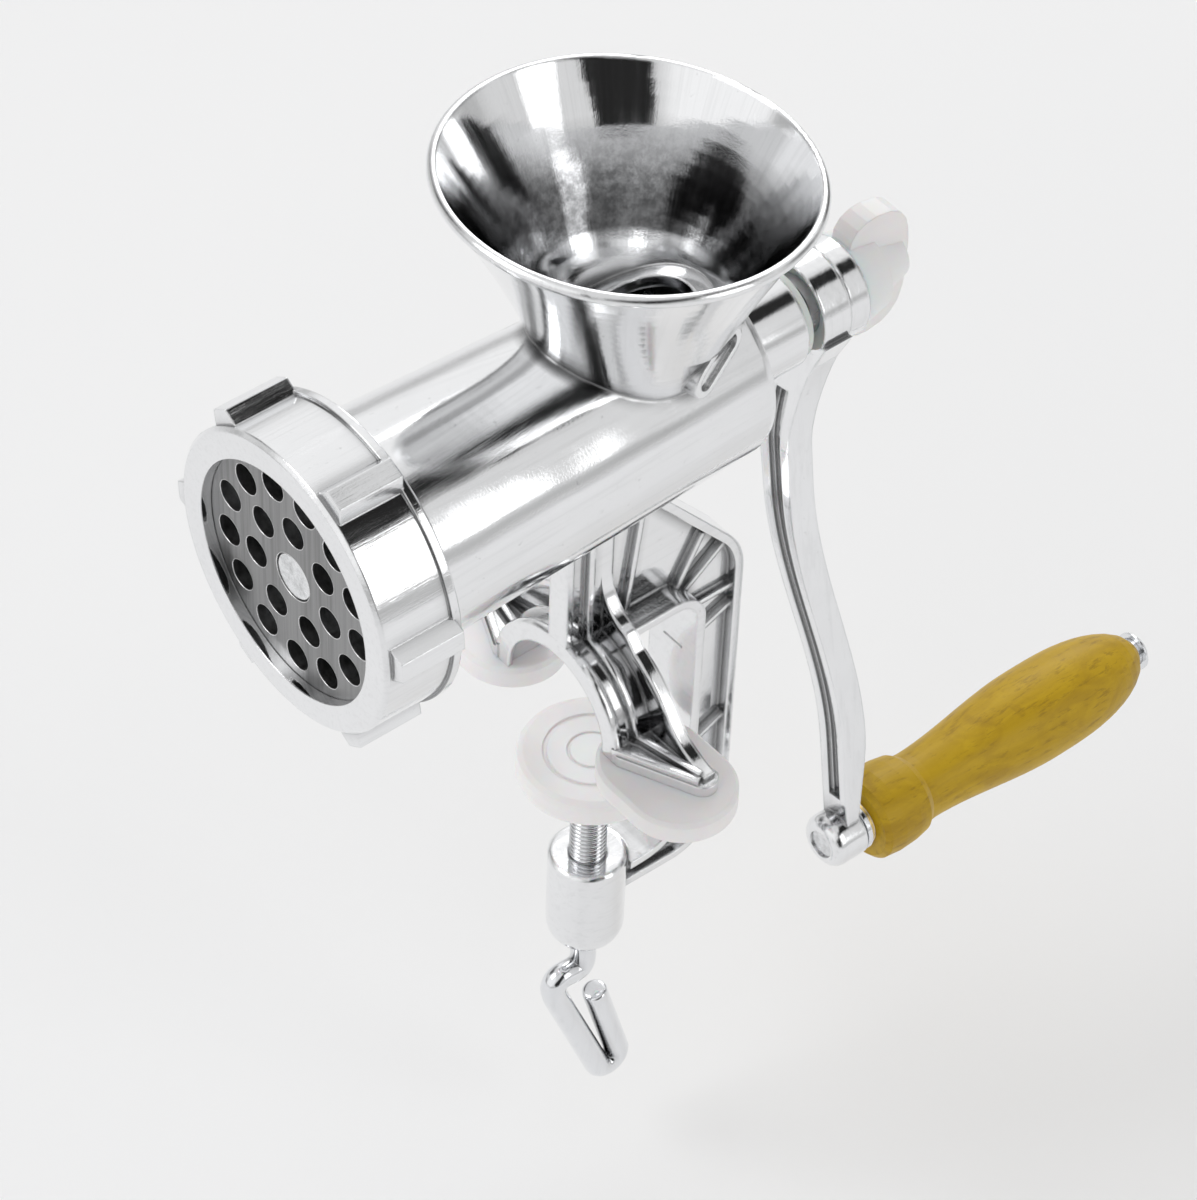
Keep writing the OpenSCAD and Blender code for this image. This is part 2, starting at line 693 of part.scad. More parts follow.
// Share of the length reached after a share t of the turns: the pitch grows towards the rear
function flight_at(t) = (1 - flight_stretch) * t + flight_stretch * t * t;
function bore_r_at(y) = bore_front_r + (bore_rear_r - bore_front_r) * (y - bore_y) / (bore_end_y - bore_y);
function core_r_at(y) = core_front_r
    + (core_rear_r - core_front_r) * (y - auger_y) / (auger_end_y - auger_y);
function flight_ring(i) = let (
        t = i / flight_count,
        a = -360 * flight_turns * t,
        y = flight_y + flight_root_t / 2 + (flight_len - flight_root_t) * flight_at(t),
        end = min(1, 6 * t, 6 * (1 - t)),
        ro = core_r_at(y) + (bore_r_at(y) - flight_clear - core_r_at(y)) * (0.25 + 0.75 * end),
        ri = core_r_at(y) - flight_margin)
    [[ri * cos(a), ri * sin(a), y - flight_root_t / 2], [ro * cos(a), ro * sin(a), y - flight_tip_t / 2],
        [ro * cos(a), ro * sin(a), y + flight_tip_t / 2], [ri * cos(a), ri * sin(a), y + flight_root_t / 2]];

// The helical flight: a four-sided section swept round the tapering core
module flight() {
    points = [for (i = [0:flight_count]) each flight_ring(i)];
    last = 4 * flight_count;
    polyhedron(points = points, faces = concat(
        [[0, 1, 2, 3]], [[last + 3, last + 2, last + 1, last]],
        [for (i = [0:flight_count - 1], k = [0:3])
            let (a = 4 * i + k, b = 4 * i + (k + 1) % 4) [a, a + 4, b]],
        [for (i = [0:flight_count - 1], k = [0:3])
            let (a = 4 * i + k, b = 4 * i + (k + 1) % 4) [b, a + 4, b + 4]]));
}

module auger() {
    color([0.78, 0.79, 0.81]) difference() {
        union() {
            on_barrel() {
                translate([0, 0, auger_y])
                    cylinder(r1 = core_front_r, r2 = core_rear_r, h = auger_end_y - auger_y);
                flight();
                translate([0, 0, auger_end_y - auger_collar_t])
                    cylinder(r1 = core_rear_r + 3, r2 = bore_rear_r - 2, h = auger_collar_t);
                translate([0, 0, auger_end_y - 1])
                    cylinder(r = shank_r, h = shank_round_end_y - auger_end_y + 1);
            }
            // the square that drives the crank, turned with it
            on_crank() translate([-shank_square / 2, shank_round_end_y - 1, -shank_square / 2])
                cube([shank_square, shank_end_y - shank_round_end_y + 1, shank_square]);
        }
        on_barrel() {
            translate([0, 0, auger_y - 1]) cylinder(r = insert_r + 0.02, h = insert_len + 1);
            translate([0, 0, shank_end_y - tap_depth]) cylinder(r = tap_r, h = tap_depth + 1);
        }
    }
}

// Steel insert in the auger's nose: a square for the knife and a journal for the plate
module auger_pin() {
    color([0.75, 0.76, 0.78]) on_barrel() {
        translate([0, 0, auger_y - 0.5]) cylinder(r = insert_r, h = insert_len);
        translate([-knife_square / 2, -knife_square / 2, knife_y])
            cube([knife_square, knife_square, auger_y - knife_y]);
        translate([0, 0, plate_y + 0.2]) cylinder(r1 = journal_r - 0.5, r2 = journal_r, h = 0.5);
        translate([0, 0, plate_y + 0.7]) cylinder(r = journal_r, h = knife_y - plate_y - 0.2);
    }
}

// Four-bladed knife: each blade is flat where it meets the plate and slopes away behind its edge
module knife() {
    hub = knife_square / 2 * sqrt(2) + 3;
    color([0.72, 0.73, 0.75]) on_barrel() translate([0, 0, knife_y]) difference() {
        union() {
            cylinder(r = hub, h = knife_hub_t);
            for (i = [0:3]) rotate(90 * i + 20) translate([hub - 2, 0, 0]) rotate([90, 0, 90])
                linear_extrude(knife_r - hub + 1.4) polygon([
                    [-5, 0], [4.5, 0], [4.5, 2], [0, knife_t], [-4, knife_t]]);
        }
        translate([-knife_square / 2 - 0.1, -knife_square / 2 - 0.1, -1])
            cube([knife_square + 0.2, knife_square + 0.2, knife_hub_t + 2]);
    }
}

module thrust_washer() {
    color([0.93, 0.93, 0.9]) on_barrel() translate([0, 0, auger_end_y]) difference() {
        cylinder(r = bore_rear_r - 4, h = washer_t);
        translate([0, 0, -1]) cylinder(r = shank_r + loose_clear, h = washer_t + 2);
    }
}

// ---------------------------------------------------------------- crank

// Line of the arm's front face, from the side: forward of the hub, then a swing to the rear
arm_points = 48;
arm_near = 30;
arm_bend_s = 97;
arm_bend_half = 46;
function ease(t) = let (c = min(1, max(0, t))) c * c * (3 - 2 * c);
function arm_front_y(s) = hub_y
    - arm_forward * ease((s - 8) / arm_near)
    + (arm_forward + arm_back) * ease((s - arm_bend_s + arm_bend_half) / (2 * arm_bend_half));
function arm_rear_y(s) = max(
    arm_front_y(s) + arm_t - (arm_t - 4) * ease((s - crank_len + 34) / 34),
    hub_end_y - (hub_end_y - hub_y + arm_forward - arm_t) * ease((s - 4) / 34));
function arm_half_w(s) = let (t = s / crank_len)
    (arm_top_w * (1 - t) + arm_end_w * t) / 2 + (hub_r - arm_top_w / 2) * exp(-max(0, s - 7) / 8);
function arm_s(i) = 6 + (crank_len - 6) * i / arm_points;

module arm_side() {
    polygon(concat(
        [for (i = [0:arm_points]) [arm_front_y(arm_s(i)), -arm_s(i)]],
        [for (i = [arm_points:-1:0]) [arm_rear_y(arm_s(i)), -arm_s(i)]]));
}

// Side view of the groove, to a depth d below the arm's front
module arm_groove_side(d) {
    n = arm_points - 8;
    s0 = hub_r + 9;
    s1 = crank_len - arm_boss_r - 6;
    stations = [for (i = [0:n]) s0 + (s1 - s0) * i / n];
    polygon(concat(
        [for (s = stations) [arm_front_y(s) - 3, -s]],
        [for (s = reversed(stations)) [arm_front_y(s) + d, -s]]));
}

module crank_arm() {
    color([0.84, 0.85, 0.87]) on_crank() difference() {
        union() {
            rotate([-90, 0, 0]) translate([0, 0, hub_y]) cylinder(r = hub_r, h = hub_len);
            intersection() {
                side_plate(2 * hub_r) arm_side();
                front_plate(hub_y - 20, hub_y + 30) polygon(both_sides(
                    [for (i = [0:arm_points]) [arm_half_w(arm_s(i)), -arm_s(i)]]));
            }
            translate([0, 0, -crank_len]) rotate([-90, 0, 0])
                translate([0, 0, arm_boss_y]) rotate_extrude() polygon(concat(
                    [[0, 0]], arc([arm_boss_r - 3, 3], 3, -90, 0),
                    [[arm_boss_r, arm_boss_len - 0.8], [arm_boss_r - 0.8, arm_boss_len],
                        [0, arm_boss_len]]));
        }
        // longitudinal groove down the arm's front, narrower at its bottom
        side_plate(groove_w) arm_groove_side(groove_d * 0.55);
        side_plate(groove_w * 0.55) arm_groove_side(groove_d);
        // square hole for the auger's shank
        translate([-shank_square / 2 - 0.05, hub_y - 10, -shank_square / 2 - 0.05])
            cube([shank_square + 0.1, hub_len + 20, shank_square + 0.1]);
        // hole for the handle's spindle
        translate([0, 0, -crank_len]) rotate([-90, 0, 0])
            translate([0, 0, arm_boss_y - 1]) cylinder(r = spindle_r + 0.02, h = arm_boss_len + 2);
    }
}

module handle_spindle() {
    color([0.76, 0.77, 0.79]) on_handle() {
        translate([0, 0, arm_boss_y + 0.6]) cylinder(r = spindle_r, h = spindle_end_y - arm_boss_y - 1.2);
        translate([0, 0, spindle_end_y - 1.4]) cylinder(r1 = spindle_r + 1.4, r2 = spindle_r, h = 1.4);
    }
}

module handle_ring(y, t, r) {
    on_handle() translate([0, 0, y]) difference() {
        cylinder(r = r, h = t);
        translate([0, 0, -1]) cylinder(r = spindle_r + run_clear, h = t + 2);
    }
}

module spindle_washer() {
    color([0.8, 0.81, 0.83]) handle_ring(arm_boss_end_y, steel_washer_t, arm_boss_r - 0.3);
}

module grip_washer() {
    color([0.78, 0.66, 0.36]) handle_ring(arm_boss_end_y + steel_washer_t + 0.15, brass_washer_t,
        arm_boss_r - 1);
}

module grip_end_cap() {
    color([0.8, 0.81, 0.83]) handle_ring(grip_end_y, 0.6, spindle_r + 1.6);
}

// Turned wooden grip: a collar at the crank, a waist, a long swell and a round end
function grip_swell(t) = let (
        waist = grip_r - 3.6,
        rise = ease((t - 0.2) / 0.42),
        fall = sqrt(max(0, 1 - pow(max(0, (t - 0.66) / 0.345), 2.4))))
    (waist + (grip_r - waist) * rise) * (t > 0.66 ? fall : 1);

module handle_grip() {
    steps = 26;
    t0 = 0.2;
    color([0.83, 0.66, 0.16]) on_handle() translate([0, 0, grip_y]) difference() {
        rotate_extrude() polygon(concat(
            [[0, 0], [grip_r - 3, 0], [grip_r - 1.5, 1.4], [grip_r - 1, 6], [grip_r - 1.2, 11.5],
                [grip_r - 1.9, 15.6], [grip_r - 3.4, 17.8]],
            [for (i = [0:steps]) let (t = t0 + (0.995 - t0) * i / steps) [grip_swell(t), t * grip_len]],
            [[spindle_r, grip_len], [0, grip_len]]));
        translate([0, 0, -1]) cylinder(r = spindle_r + run_clear, h = grip_len + 2);
    }
}

// ---------------------------------------------------------------- crank fastening

module collar_washer() {
    color([0.84, 0.85, 0.87]) on_barrel() translate([0, 0, hub_end_y]) difference() {
        rotate_extrude() polygon([
            [0, 0], [collar_nut_r - 0.4, 0], [collar_nut_r, 0.4], [collar_nut_r, collar_nut_len - 0.5],
            [collar_nut_r - 0.5, collar_nut_len], [0, collar_nut_len]]);
        translate([0, 0, -1]) cylinder(r = stud_r + run_clear, h = collar_nut_len + 2);
    }
}

module knob_stud() {
    color([0.7, 0.71, 0.73]) on_barrel() translate([0, 0, shank_end_y - stud_engaged])
        cylinder(r = stud_r, h = knob_y + knob_depth * 0.6 - shank_end_y + stud_engaged);
}

// Side view (Y, Z) of both wings
function wing_half() = [
    [knob_y + 0.6, 11], [knob_y + 1.2, wing_reach - 4], [knob_y + 3, wing_reach - 1.6],
    [knob_y + 6, wing_reach - 0.3], [knob_y + 9, wing_reach], [knob_end_y - 6.5, wing_reach - 0.8],
    [knob_end_y - 3.6, wing_reach - 2.6], [knob_end_y - 1.6, wing_reach - 5.4],
    [knob_end_y - 0.4, wing_reach - 9.4], [knob_end_y, wing_reach - 14]];

module wing_knob() {
    color([0.95, 0.95, 0.95]) translate([0, 0, bar_z]) difference() {
        union() {
            rotate([-90, 0, 0]) translate([0, 0, knob_y]) cylinder(r1 = collar_nut_r - 0.6, r2 = 11, h = 9);
            side_plate(wing_t) polygon(concat(wing_half(),
                [for (i = [len(wing_half()) - 1:-1:0]) [wing_half()[i][0], -wing_half()[i][1]]]));
            rotate([-90, 0, 0]) translate([0, 0, knob_y + 1])
                cylinder(r1 = 11, r2 = 6.5, h = knob_depth - 3);
        }
        rotate([-90, 0, 0]) translate([0, 0, knob_y - 1])
            cylinder(r = stud_r + 0.02, h = knob_depth * 0.6 + 1);
    }
}

// ---------------------------------------------------------------- clamp screw

module clamp_disc() {
    color([0.95, 0.95, 0.95]) difference() {
        translate([0, 0, disc_z]) rotate_extrude() polygon([
            [0, -disc_hub_t], [disc_hub_r, -disc_hub_t], [disc_hub_r, 0], [disc_r - 2, 0],
            [disc_r - 0.5, 1], [disc_r, 2.4], [disc_r, disc_t - 2.2], [disc_r - 0.6, disc_t - 0.8],
            [disc_r - 2, disc_t], [12.6, disc_t], [12.6, disc_t - 0.5], [11.6, disc_t - 0.5],
            [11.6, disc_t], [6.4, disc_t], [6.4, disc_t - 0.5], [5.6, disc_t - 0.5],
            [5.6, disc_t], [0, disc_t]]);
        translate([0, 0, disc_z - disc_hub_t - 1])
            cylinder(r = screw_r + run_clear, h = socket_depth + 1);
    }
}

// Spring ring under the disc's hub that keeps the disc on the screw
module disc_retainer() {
    color([0.7, 0.71, 0.73]) translate([0, 0, disc_z - disc_hub_t - 1.2]) difference() {
        cylinder(r = screw_r + 2.2, h = 1.2);
        translate([0, 0, -1]) cylinder(r = screw_r + run_clear, h = 4);
    }
}

// A round bar from p to q
module bar(p, q, r) {
    d = q - p;
    translate(p) rotate([0, acos(d[2] / norm(d)), atan2(d[1], d[0])]) cylinder(r = r, h = norm(d), $fn = 32);
}

// The bent handle's centre line, from the side (Y, Z), below the threaded part
hook_path = [
    [0, 0, screw_bend_z + 4], [0, -2.5, screw_bend_z - 1.5], [0, -7.5, screw_bend_z - 4.5],
    [0, -9, screw_bend_z - 9], [0, 5.8, screw_bend_z - 52]];
hook_turn_r = 4.9;
hook_free_len = 40;

module clamp_screw() {
    last = hook_path[4];
    leg = last - hook_path[3];
    color([0.82, 0.83, 0.85]) {
        translate([0, 0, screw_bend_z + 4]) cylinder(r = screw_r, h = screw_top_z - screw_bend_z - 4);
        for (i = [0:3]) bar(hook_path[i], hook_path[i + 1], hook_r);
        for (i = [0:3]) translate(hook_path[i]) sphere(r = hook_r + 0.02, $fn = 32);
        // the turn back up and the blunt free end
        translate(last) rotate([atan2(leg[1], -leg[2]), 0, 0]) {
            translate([0, hook_turn_r, 0]) rotate([-90, 0, 90])
                rotate_extrude(angle = 180) translate([hook_turn_r, 0]) circle(r = hook_r, $fn = 32);
            for (y = [0, 2 * hook_turn_r]) translate([0, y, 0]) sphere(r = hook_r + 0.02, $fn = 32);
            translate([0, 2 * hook_turn_r, 0]) cylinder(r = hook_r, h = hook_free_len, $fn = 32);
        }
    }
}

body_casting();
rear_bush();
plate_key();
jaw_pad_left();
jaw_pad_right();
grinding_plate();
ring_nut();
auger();
auger_pin();
knife();
thrust_washer();
crank_arm();
handle_spindle();
spindle_washer();
handle_grip();
grip_washer();
grip_end_cap();
collar_washer();
knob_stud();
wing_knob();
clamp_disc();
disc_retainer();
clamp_screw();
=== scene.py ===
import math

import bpy
from mathutils import Matrix, Vector


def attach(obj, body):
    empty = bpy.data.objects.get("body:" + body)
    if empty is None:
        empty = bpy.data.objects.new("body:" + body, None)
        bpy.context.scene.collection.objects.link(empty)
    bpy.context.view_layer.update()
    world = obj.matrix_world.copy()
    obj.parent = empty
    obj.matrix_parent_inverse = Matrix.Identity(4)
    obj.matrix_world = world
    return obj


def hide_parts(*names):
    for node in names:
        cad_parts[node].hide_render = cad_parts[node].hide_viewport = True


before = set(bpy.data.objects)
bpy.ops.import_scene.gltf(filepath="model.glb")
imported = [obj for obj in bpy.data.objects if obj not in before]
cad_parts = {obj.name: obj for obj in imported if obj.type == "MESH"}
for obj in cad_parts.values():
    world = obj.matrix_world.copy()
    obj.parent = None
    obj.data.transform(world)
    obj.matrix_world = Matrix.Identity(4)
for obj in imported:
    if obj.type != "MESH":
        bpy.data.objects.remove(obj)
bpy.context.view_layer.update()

scene = bpy.context.scene

# Lengths are in metres, in the frame's axes: -y is the outlet, +y the crank, +z up.

HOPPER_Y = 0.0058                   # the hopper's upright axis
HOPPER_FOOT = 0.126                 # above this the polishing lines turn round the hopper
THROAT_BOTTOM = (0.1335, 0.135)     # the unpolished throat fades in over these heights
THROAT_TOP = (0.147, 0.16)          # and out again over these
MIDDLE = (0.3, 0.7)                 # most of a noise's values lie between these


# ------------------------------------------------------------------ node helpers

class Nodes:
    """A node tree being built: short calls that add and join nodes."""

    def __init__(self, tree, coord):
        self.tree = tree
        self.coord = self.new("ShaderNodeTexCoord").outputs[coord]

    def new(self, kind, **props):
        node = self.tree.nodes.new(kind)
        for key, value in props.items():
            setattr(node, key, value)
        return node

    def put(self, value, socket):
        if isinstance(value, bpy.types.NodeSocket):
            self.tree.links.new(value, socket)
        else:
            socket.default_value = value

    def fill(self, node, **values):
        """Join or set the node's inputs, each named with _ for a space."""
        for key, value in values.items():
            self.put(value, node.inputs[key.replace("_", " ")])

    def math(self, operation, a, b=0.0):
        node = self.new("ShaderNodeMath", operation=operation)
        self.put(a, node.inputs[0])
        self.put(b, node.inputs[1])
        return node.outputs[0]

    def times(self, a, b):
        return self.math("MULTIPLY", a, b)

    def vectors(self, operation, a, b):
        node = self.new("ShaderNodeVectorMath", operation=operation)
        self.put(a, node.inputs[0])
        self.put(b, node.inputs[1])
        return node.outputs["Value" if operation == "DOT_PRODUCT" else "Vector"]

    def remap(self, value, first, last, lo=0.0, hi=1.0, **props):
        """first up to lo, last from hi on, and evenly between them."""
        node = self.new("ShaderNodeMapRange", **props)
        self.fill(node, Value=value, From_Min=lo, From_Max=hi, To_Min=first, To_Max=last)
        return node.outputs["Result"]

    def xyz(self, vector):
        node = self.new("ShaderNodeSeparateXYZ")
        self.put(vector, node.inputs[0])
        return node.outputs


class Mat(Nodes):
    """A material on object coordinates."""

    SOCKETS = {
        "color": "Base Color", "metal": "Metallic", "rough": "Roughness", "normal": "Normal",
        "coat": "Coat Weight", "coat_rough": "Coat Roughness", "spec": "Specular IOR Level",
        "sss": "Subsurface Weight", "sss_scale": "Subsurface Scale",
    }

    def __init__(self, name):
        self.mat = bpy.data.materials.new(name)
        self.mat.use_nodes = True
        super().__init__(self.mat.node_tree, "Object")

    def set(self, **values):
        """Join or set the shader's own sockets."""
        for key, value in values.items():
            self.put(value, self.tree.nodes["Principled BSDF"].inputs[self.SOCKETS[key]])

    def scaled(self, scale):
        node = self.new("ShaderNodeMapping")
        self.fill(node, Vector=self.coord, Scale=scale)
        return node.outputs["Vector"]

    def noise(self, scale, detail=3.0, rough=0.5, vector=None, distort=0.0):
        node = self.new("ShaderNodeTexNoise")
        self.fill(node, Vector=vector or self.coord, Scale=scale, Detail=detail,
                  Roughness=rough, Distortion=distort)
        return node.outputs["Fac"]

    def streaks(self, vector, detail, rough, distort=0.0):
        """Noise on coordinates that are already stretched."""
        return self.noise(1.0, detail, rough, vector, distort)

    def ramp(self, fac, *stops):
        node = self.new("ShaderNodeValToRGB")
        self.fill(node, Fac=fac)
        elements = node.color_ramp.elements
        while len(elements) < len(stops):
            elements.new(0.5)
        for element, (position, color) in zip(elements, stops):
            element.position = position
            element.color = (*color, 1)
        return node.outputs["Color"]

    def mix(self, factor, a, b):
        """Color a where factor is 0, color b where it is 1."""
        node = self.new("ShaderNodeMix", data_type="RGBA")
        a, b = (c if isinstance(c, bpy.types.NodeSocket) else (*c, 1) for c in (a, b))
        self.fill(node, Factor=factor, A=a, B=b)
        return node.outputs["Result"]

    def bump(self, height, strength, distance, normal=None):
        node = self.new("ShaderNodeBump")
        self.fill(node, Height=height, Strength=strength, Distance=distance)
        if normal:
            self.fill(node, Normal=normal)
        return node.outputs["Normal"]

    def bevel(self, radius, samples=6):
        """The normal of edges worn to a radius."""
        node = self.new("ShaderNodeBevel", samples=samples)
        self.fill(node, Radius=radius)
        return node.outputs["Normal"]

    def geometry(self, output):
        return self.new("ShaderNodeNewGeometry").outputs[output]

    def crevice_shade(self, reach):
        """1 where nearby surfaces close in within reach, 0 in the open: the mask for shade
        painted into crevices.
        """
        node = self.new("ShaderNodeAmbientOcclusion", samples=6, only_local=True)
        self.fill(node, Distance=reach)
        return self.remap(node.outputs["AO"], 1.0, 0.0, 0.55, 0.95)

    def painted_edge_highlight(self, rounded):
        """1 along sharp edges, where the rounded normal leaves the flat one: the mask of a
        painted highlight.
        """
        cosine = self.vectors("DOT_PRODUCT", rounded, self.geometry("True Normal"))
        return self.remap(cosine, 1.0, 0.0, 0.9, 0.995)


def shade(color, factor):
    return tuple(min(1, c * factor) for c in color)


# ------------------------------------------------------------------ materials

def throat(m):
    """1 on the hopper's lower inside, which the polisher doesn't reach."""
    z = m.xyz(m.coord)[2]
    facing_up = m.xyz(m.geometry("Normal"))[2]
    height = m.times(m.remap(z, 1.0, 0.0, *THROAT_TOP), m.remap(z, 0.0, 1.0, *THROAT_BOTTOM))
    return m.times(height, m.remap(facing_up, 0.0, 1.0, 0.0, 0.15))


def barrel_lay(m):
    """Polishing lines along the barrel, and from throat to rim inside and outside the hopper."""
    along_barrel = (520, 14, 520)
    round_hopper, up_hopper = 26.0, 16.0
    turn_over = 0.004                       # height over which the lines change direction
    x, y, z = m.xyz(m.coord)
    turn = m.math("ARCTAN2", x, m.math("SUBTRACT", y, HOPPER_Y))
    flare = m.new("ShaderNodeCombineXYZ")
    m.fill(flare, X=m.times(turn, round_hopper), Y=m.times(z, up_hopper))
    node = m.new("ShaderNodeMix", data_type="VECTOR")
    m.fill(node, Factor=m.remap(z, 0.0, 1.0, HOPPER_FOOT, HOPPER_FOOT + turn_over),
           A=m.scaled(along_barrel), B=flare.outputs[0])
    return node.outputs["Result"]


def lay_of(scale):
    """Straight polishing lines, along the axis with the smallest scale."""
    return lambda m: m.scaled(scale)


def polished_casting(name, tint, rough, wave, edge, lay, depth, grit=0.25, raw=None, reach=0.004):
    """Tinned cast metal: hand-polished, so its reflections waver and fine lines follow the lay.

    wave and depth are the heights of the waver and of the lines, edge the radius of worn
    edges, grit how dark the pits are, raw a mask of unpolished metal, and reach how far the
    painted shade in the crevices spreads.
    """
    m = Mat(name)
    waver = m.noise(20, detail=2.0, rough=0.45)
    grain = m.noise(1500, detail=3.0, rough=0.65)
    cloud = m.noise(60, detail=4.0, rough=0.55)
    lines = m.streaks(lay(m), detail=4.0, rough=0.65)
    pits = m.noise(420, detail=4.0, rough=0.75)

    pitted = m.times(m.remap(pits, 1.0, 0.0, 0.27, 0.36), grit)
    color = m.mix(m.remap(cloud, 0, 0.5, *MIDDLE), tint, shade(tint, 0.94))
    color = m.mix(m.remap(lines, 0.2, 0.0, 0.34, 0.5), color, shade(tint, 0.72))
    color = m.mix(pitted, color, shade(tint, 0.35))
    # painted shade: the colour darkens where nearby surfaces close in, in crevices and grooves
    color = m.mix(m.times(m.crevice_shade(reach), 0.85), color, shade(tint, 0.2))
    if raw:
        unpolished = m.times(raw(m), m.remap(pits, 0.55, 0.9, 0.35, 0.6))
        color = m.mix(unpolished, color, shade(tint, 0.2))

    roughness = m.math("ADD", m.remap(cloud, rough * 0.7, rough * 1.3, *MIDDLE),
                       m.remap(lines, -0.03, 0.05, *MIDDLE))
    normal = m.bump(waver, 1.0, wave, m.bevel(edge))
    normal = m.bump(lines, 0.8, depth, normal)
    normal = m.bump(grain, 0.5, 0.00002, normal)
    m.set(color=color, metal=1.0, rough=roughness, normal=normal)
    return m.mat


def brushed(name, tint, stretch, rough, depth=0.00003):
    """Ground steel with fine parallel lines, along the axis with the smallest stretch."""
    m = Mat(name)
    fine = m.streaks(m.scaled(stretch), detail=4.0, rough=0.7)
    broad = m.streaks(m.scaled(tuple(s * 0.22 for s in stretch)), detail=2.0, rough=0.5)
    lines = m.math("ADD", m.times(fine, 0.65), m.times(broad, 0.35))
    steel = m.ramp(lines, (0.3, shade(tint, 0.55)), (0.52, tint), (0.72, shade(tint, 1.25)))
    rounded = m.bevel(0.0004, samples=8)
    # painted highlight: the sharp edges are coloured near white, as if they caught the light
    m.set(color=m.mix(m.painted_edge_highlight(rounded), steel, (0.95, 0.95, 0.95)), metal=1.0,
          rough=m.remap(lines, rough * 0.8, rough * 1.3, *MIDDLE),
          normal=m.bump(lines, 0.6, depth, rounded))
    return m.mat


def white_plastic(name, tint=(0.95, 0.95, 0.95)):
    """Satin moulded plastic, a little translucent, with a fine texture and soft edges."""
    m = Mat(name)
    cloud = m.noise(45, detail=3.0, rough=0.5)
    grain = m.noise(1400, detail=2.0, rough=0.5)
    m.set(color=m.mix(m.remap(cloud, 0, 1, *MIDDLE), tint, shade(tint, 0.95)),
          rough=m.remap(cloud, 0.3, 0.42, *MIDDLE), sss=0.35, sss_scale=0.006,
          normal=m.bump(grain, 0.15, 0.00003, m.bevel(0.0006, samples=4)))
    return m.mat


def varnished_wood(name):
    """Mustard-stained hardwood: grain along the grip, brown mottling, pores, a varnish coat."""
    early, middle, late = (0.47, 0.285, 0.003), (0.54, 0.335, 0.004), (0.61, 0.39, 0.008)
    mottle, pore = (0.38, 0.22, 0.004), (0.25, 0.135, 0.004)
    m = Mat(name)
    warp = m.times(m.noise(22, detail=3.0, rough=0.5), 3.0)
    warped = m.vectors("ADD", m.scaled((230, 26, 230)), warp)
    grain = m.streaks(warped, detail=5.0, rough=0.62, distort=0.6)
    pores = m.streaks(m.scaled((620, 110, 620)), detail=4.0, rough=0.75)
    blotch = m.streaks(m.scaled((75, 40, 75)), detail=4.0, rough=0.6, distort=1.2)
    color = m.ramp(grain, (0.28, early), (0.5, middle), (0.72, late))
    color = m.mix(m.remap(blotch, 0.6, 0.0, 0.36, 0.5), color, mottle)
    color = m.mix(m.remap(pores, 0.55, 0.0, 0.33, 0.45), color, pore)
    normal = m.bump(grain, 0.35, 0.0002)
    normal = m.bump(pores, 0.5, 0.00014, normal)
    m.set(color=color, rough=m.remap(grain, 0.4, 0.55), coat=0.1, coat_rough=0.3, spec=0.3,
          normal=normal)
    return m.mat


TIN = (0.88, 0.885, 0.895)
cast = polished_casting("tinned casting", TIN, rough=0.07, wave=0.0009, edge=0.0012,
                        lay=barrel_lay, depth=0.000016, grit=0.35, raw=throat)
ringm = polished_casting("tinned ring", TIN, rough=0.085, wave=0.0006, edge=0.0006,
                         lay=lay_of((700, 30, 700)), depth=0.00005)
# the crank's painted crevice shade reaches further, so that its grooves darken
crankm = polished_casting("tinned crank", TIN, rough=0.08, wave=0.0006, edge=0.0011,
                          lay=lay_of((420, 420, 24)), depth=0.00003, reach=0.007)
augerm = polished_casting("satin casting", (0.62, 0.63, 0.65), rough=0.3, wave=0.0005,
                          edge=0.0006, lay=lay_of((300, 300, 300)), depth=0.00004)
chrome = polished_casting("plated steel", (0.84, 0.85, 0.87), rough=0.1, wave=0.0002,
                          edge=0.0004, lay=lay_of((500, 500, 40)), depth=0.00002)
platem = brushed("brushed plate", (0.29, 0.29, 0.292), stretch=(900, 900, 14), rough=0.34)
pinm = brushed("turned pin", (0.78, 0.79, 0.8), (500, 500, 500), rough=0.24, depth=0.00001)
knifem = brushed("ground knife", (0.55, 0.56, 0.58), stretch=(200, 900, 40), rough=0.3)
brassm = brushed("brass", (0.75, 0.55, 0.22), (400, 400, 400), rough=0.3, depth=0.00001)
whitem = white_plastic("white plastic")
nylonm = white_plastic("nylon", (0.82, 0.82, 0.78))
woodm = varnished_wood("stained wood")

by_node = {
    "body_casting": cast, "rear_bush": nylonm, "plate_key": pinm, "jaw_pad_left": whitem,
    "jaw_pad_right": whitem, "grinding_plate": platem, "ring_nut": ringm, "auger": augerm,
    "auger_pin": pinm, "knife": knifem, "thrust_washer": nylonm, "crank_arm": crankm,
    "handle_spindle": pinm, "spindle_washer": chrome, "handle_grip": woodm,
    "grip_washer": brassm, "grip_end_cap": chrome, "collar_washer": crankm, "knob_stud": pinm,
    "wing_knob": whitem, "clamp_disc": whitem, "disc_retainer": chrome, "clamp_screw": chrome,
}
for name, mat in by_node.items():
    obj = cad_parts[name]
    obj.data.materials.clear()
    obj.data.materials.append(mat)
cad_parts["handle_grip"].visible_glossy = False    # the metal mirrors the studio alone


# ------------------------------------------------------------------ clamp screw

